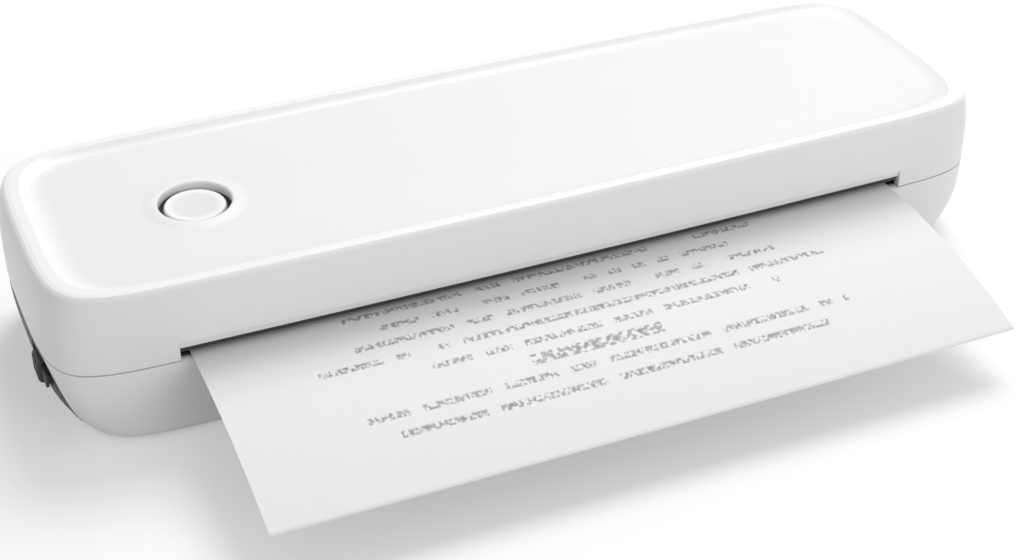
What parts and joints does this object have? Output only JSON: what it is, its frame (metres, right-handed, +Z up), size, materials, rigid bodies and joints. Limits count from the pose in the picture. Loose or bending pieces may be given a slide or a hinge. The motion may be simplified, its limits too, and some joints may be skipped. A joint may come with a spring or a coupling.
{
  "type": "a4 portable thermal printer",
  "caption": "Slim desktop thermal printer: soft-cornered bar case, rear-hinged cover with sunken top, round power button, gear-driven platen, sprung print head and a sheet leaving the front slot.",
  "frame": {"origin": "middle of the flat underside of the bottom case", "axes": "+X along the printer towards its right end, -Y towards the front where the sheet comes out, +Z up"},
  "size_m": [0.2809, 0.1452, 0.0462],
  "materials": {
    "case_plastic": "fine satin",
    "button_plastic": "satin",
    "dark_plastic": "fine spark texture",
    "guide_plastic": "satin",
    "gear_plastic": "natural acetal",
    "bush_plastic": "smooth",
    "platen_rubber": "ground matt",
    "foot_rubber": "matt",
    "steel": "zinc plated",
    "spring_steel": "bright",
    "brass": "machined",
    "head_aluminium": "extruded",
    "head_ceramic": "glazed ceramic",
    "circuit_board": "solder mask",
    "chip_plastic": "moulded",
    "connector_plastic": "moulded",
    "ribbon_film": "polyimide film",
    "battery_wrap": "shrink film",
    "paper": "coated thermal paper"
  },
  "bodies": {
    "base": {"bottom_case": "case_plastic", "rubber_feet": "foot_rubber", "port_panel": "dark_plastic", "usb_c_port": "steel", "control_board": "circuit_board", "board_components": "chip_plastic", "board_supports": "brass", "board_screws": "steel", "battery_pack": "battery_wrap", "left_side_plate": "steel", "right_side_plate": "steel", "plate_screws": "steel", "left_platen_bush": "bush_plastic", "right_platen_bush": "bush_plastic", "front_paper_guide": "guide_plastic", "rear_paper_guide": "guide_plastic", "guide_screws": "steel", "paper_sensor": "chip_plastic", "drive_motor": "steel", "motor_screws": "steel", "idler_stud": "steel", "idler_clip": "spring_steel", "latch_strikers": "steel", "slider_spring": "spring_steel", "hinge_pins": "steel"},
    "cover": {"top_cover": "case_plastic", "upper_paper_guide": "guide_plastic", "cover_screws": "steel", "cover_catches": "spring_steel", "head_bracket": "steel", "head_pivot_shaft": "steel", "head_spring": "spring_steel", "cover_board": "circuit_board", "power_switch": "chip_plastic", "board_connector": "connector_plastic", "head_ribbon": "ribbon_film", "button_seal": "foot_rubber", "tear_bar": "dark_plastic"},
    "button": {"power_button": "button_plastic"},
    "release": {"release_slider": "dark_plastic"},
    "platen": {"platen_shaft": "steel", "platen_rubber": "platen_rubber", "platen_gear": "gear_plastic", "platen_clip": "spring_steel"},
    "idler": {"idler_gear": "gear_plastic"},
    "rotor": {"motor_pinion": "brass", "motor_shaft": "steel"},
    "head": {"head_heat_sink": "head_aluminium", "head_substrate": "head_ceramic", "head_driver_cover": "chip_plastic", "head_connector": "connector_plastic"},
    "paper": {"paper_sheet": "paper"}
  },
  "joints": [
    {"name": "cover_hinge", "type": "hinge", "parent": "base", "child": "cover", "pos_m": [0, 0.0372, 0.02575], "axis": [-1, 0, 0], "range_deg": [0, 75], "deforming": ["cover_catches"]},
    {"name": "button_press", "type": "slide", "parent": "cover", "child": "button", "axis": [0, 0, -1], "range_m": [0, 0.0008], "stiffness_N_per_m": 1200, "springref_m": -0.0003},
    {"name": "cover_release", "type": "slide", "parent": "base", "child": "release", "axis": [0, 1, 0], "range_m": [0, 0.0025], "stiffness_N_per_m": 250, "springref_m": -0.002, "deforming": ["slider_spring", "cover_catches"]},
    {"name": "platen_turn", "type": "hinge", "parent": "base", "child": "platen", "pos_m": [0.001, -0.024, 0.017], "axis": [1, 0, 0], "continuous": true},
    {"name": "idler_turn", "type": "hinge", "parent": "base", "child": "idler", "pos_m": [0.1135, -0.01272, 0.0129], "axis": [1, 0, 0], "continuous": true},
    {"name": "motor_turn", "type": "hinge", "parent": "base", "child": "rotor", "pos_m": [0.1135, 0.00095, 0.011], "axis": [1, 0, 0], "continuous": true},
    {"name": "head_lift", "type": "hinge", "parent": "cover", "child": "head", "pos_m": [0.001, -0.0095, 0.0282], "axis": [-1, 0, 0], "range_deg": [0, 3], "stiffness_Nm_per_rad": 1, "springref_deg": -5.73, "deforming": ["head_spring", "head_ribbon"]},
    {"name": "paper_feed", "type": "slide", "parent": "base", "child": "paper", "axis": [0, -1, 0], "range_m": [0, 0.04]}
  ],
  "couplings": [
    {"joint": "idler_turn", "follows": "platen_turn", "ratio": -1.5},
    {"joint": "motor_turn", "follows": "platen_turn", "ratio": 3.4286}
  ]
}
